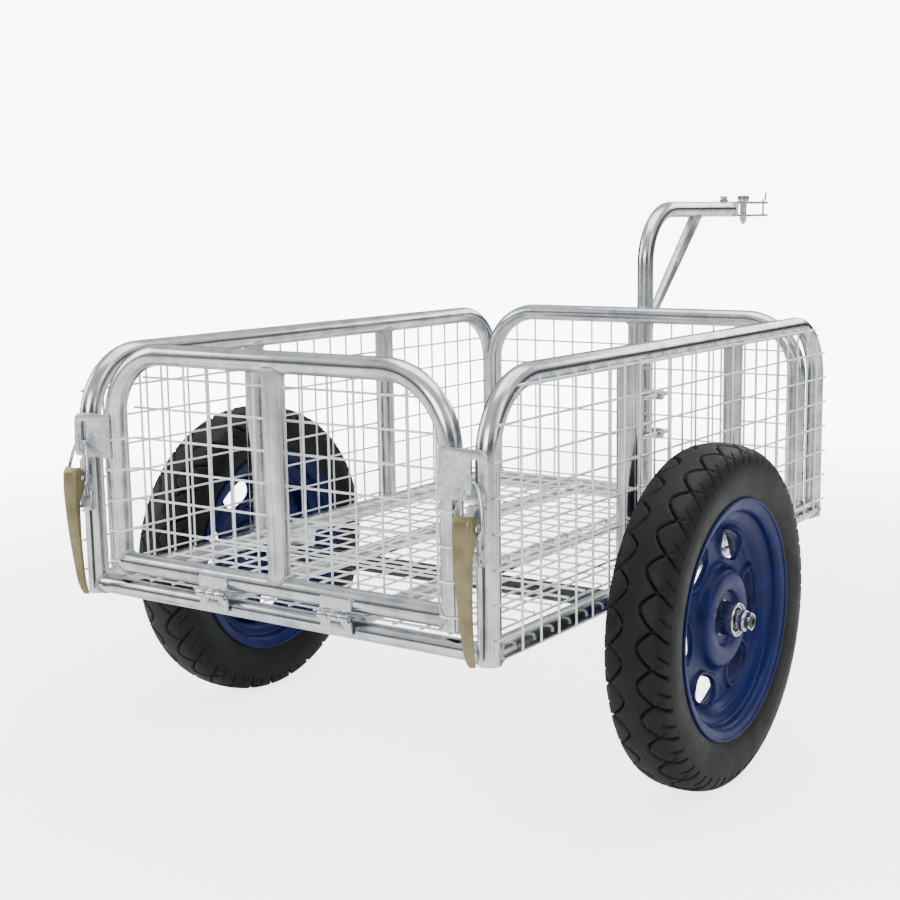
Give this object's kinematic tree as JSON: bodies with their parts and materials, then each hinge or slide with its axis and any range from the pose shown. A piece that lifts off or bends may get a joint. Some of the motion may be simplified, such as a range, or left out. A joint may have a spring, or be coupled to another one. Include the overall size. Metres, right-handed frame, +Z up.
{
  "type": "garden cart",
  "caption": "Tubular steel garden cart on pneumatic wheels with wire sides, a drop-down tailgate held by toggle latches, and a bent drawbar with a tow head.",
  "frame": {"origin": "on the ground, in the middle of the cart's overall width and length", "axes": "+Z up, +Y forward from the tailgate to the tow head, +X to the right seen from the tailgate"},
  "size_m": [0.826, 1.374, 0.7073],
  "materials": {
    "galvanised_steel": "hot-dip galvanised tube, bright with soft streaks",
    "grid_wire": "galvanised drawn wire",
    "zinc_plate": "bright zinc plate",
    "yellow_zinc": "yellow passivated zinc, dull khaki",
    "blue_paint": "navy blue gloss enamel",
    "tyre": "black rubber, satin sidewall"
  },
  "bodies": {
    "chassis": {"side_hoop_left": "galvanised_steel", "bed_rail_left": "galvanised_steel", "side_post_left_1": "galvanised_steel", "side_post_left_2": "galvanised_steel", "side_grid_left": "grid_wire", "side_hoop_right": "galvanised_steel", "bed_rail_right": "galvanised_steel", "side_post_right_1": "galvanised_steel", "side_post_right_2": "galvanised_steel", "side_grid_right": "grid_wire", "front_hoop": "galvanised_steel", "front_bottom_tube": "galvanised_steel", "front_centre_post": "galvanised_steel", "front_grid": "grid_wire", "sill_tube": "galvanised_steel", "floor_rail_left": "galvanised_steel", "floor_rail_right": "galvanised_steel", "floor_grid": "grid_wire", "axle": "galvanised_steel", "axle_bracket_left": "galvanised_steel", "axle_bracket_right": "galvanised_steel", "axle_nut_left": "zinc_plate", "axle_nut_right": "zinc_plate", "hinge_lower_leaf_left": "zinc_plate", "hinge_lower_leaf_right": "zinc_plate", "hinge_pin_left": "zinc_plate", "hinge_pin_right": "zinc_plate", "latch_base_left": "zinc_plate", "latch_base_right": "zinc_plate", "latch_pin_left": "zinc_plate", "latch_pin_right": "zinc_plate", "drawbar_tube": "galvanised_steel", "drawbar_brace": "galvanised_steel", "u_bolt_lower": "zinc_plate", "u_bolt_upper": "zinc_plate", "tow_head": "galvanised_steel", "tow_hook": "zinc_plate", "clamp_bolt": "zinc_plate"},
    "tailgate": {"gate_hoop": "galvanised_steel", "gate_bottom_tube": "galvanised_steel", "gate_centre_post": "galvanised_steel", "gate_grid": "grid_wire", "hinge_upper_leaf_left": "zinc_plate", "hinge_upper_leaf_right": "zinc_plate", "latch_hook_plate_left": "galvanised_steel", "latch_hook_plate_right": "galvanised_steel"},
    "wheel_left": {"tyre_left": "tyre", "rim_left": "blue_paint", "hub_left": "zinc_plate", "bearing_set_left": "zinc_plate"},
    "wheel_right": {"tyre_right": "tyre", "rim_right": "blue_paint", "hub_right": "zinc_plate", "bearing_set_right": "zinc_plate"},
    "lever_left": {"latch_lever_left": "yellow_zinc"},
    "bail_left": {"latch_bail_left": "zinc_plate"},
    "lever_right": {"latch_lever_right": "yellow_zinc"},
    "bail_right": {"latch_bail_right": "zinc_plate"},
    "tow_pin": {"tow_pin": "zinc_plate"}
  },
  "joints": [
    {"name": "tailgate_fold", "type": "hinge", "parent": "chassis", "child": "tailgate", "pos_m": [0, -0.6605, 0.254], "axis": [1, 0, 0], "range_deg": [0, 150]},
    {"name": "wheel_left_spin", "type": "hinge", "parent": "chassis", "child": "wheel_left", "pos_m": [-0.359, -0.288, 0.204], "axis": [1, 0, 0], "continuous": true},
    {"name": "wheel_right_spin", "type": "hinge", "parent": "chassis", "child": "wheel_right", "pos_m": [0.359, -0.288, 0.204], "axis": [1, 0, 0], "continuous": true},
    {"name": "latch_lever_left_swing", "type": "hinge", "parent": "chassis", "child": "lever_left", "pos_m": [-0.28, -0.674, 0.372], "axis": [-1, 0, 0], "range_deg": [0, 120]},
    {"name": "latch_bail_left_tilt", "type": "hinge", "parent": "lever_left", "child": "bail_left", "pos_m": [-0.28, -0.673, 0.366], "axis": [-1, 0, 0], "range_deg": [-112, 0]},
    {"name": "latch_lever_right_swing", "type": "hinge", "parent": "chassis", "child": "lever_right", "pos_m": [0.28, -0.674, 0.372], "axis": [-1, 0, 0], "range_deg": [0, 120]},
    {"name": "latch_bail_right_tilt", "type": "hinge", "parent": "lever_right", "child": "bail_right", "pos_m": [0.28, -0.673, 0.366], "axis": [-1, 0, 0], "range_deg": [-112, 0]},
    {"name": "tow_pin_lift", "type": "slide", "parent": "chassis", "child": "tow_pin", "axis": [0, 0, 1], "range_m": [0, 0.045]}
  ],
  "couplings": [
    {"joint": "latch_bail_left_tilt", "follows": "latch_lever_left_swing", "ratio": -0.93},
    {"joint": "latch_bail_right_tilt", "follows": "latch_lever_right_swing", "ratio": -0.93}
  ]
}
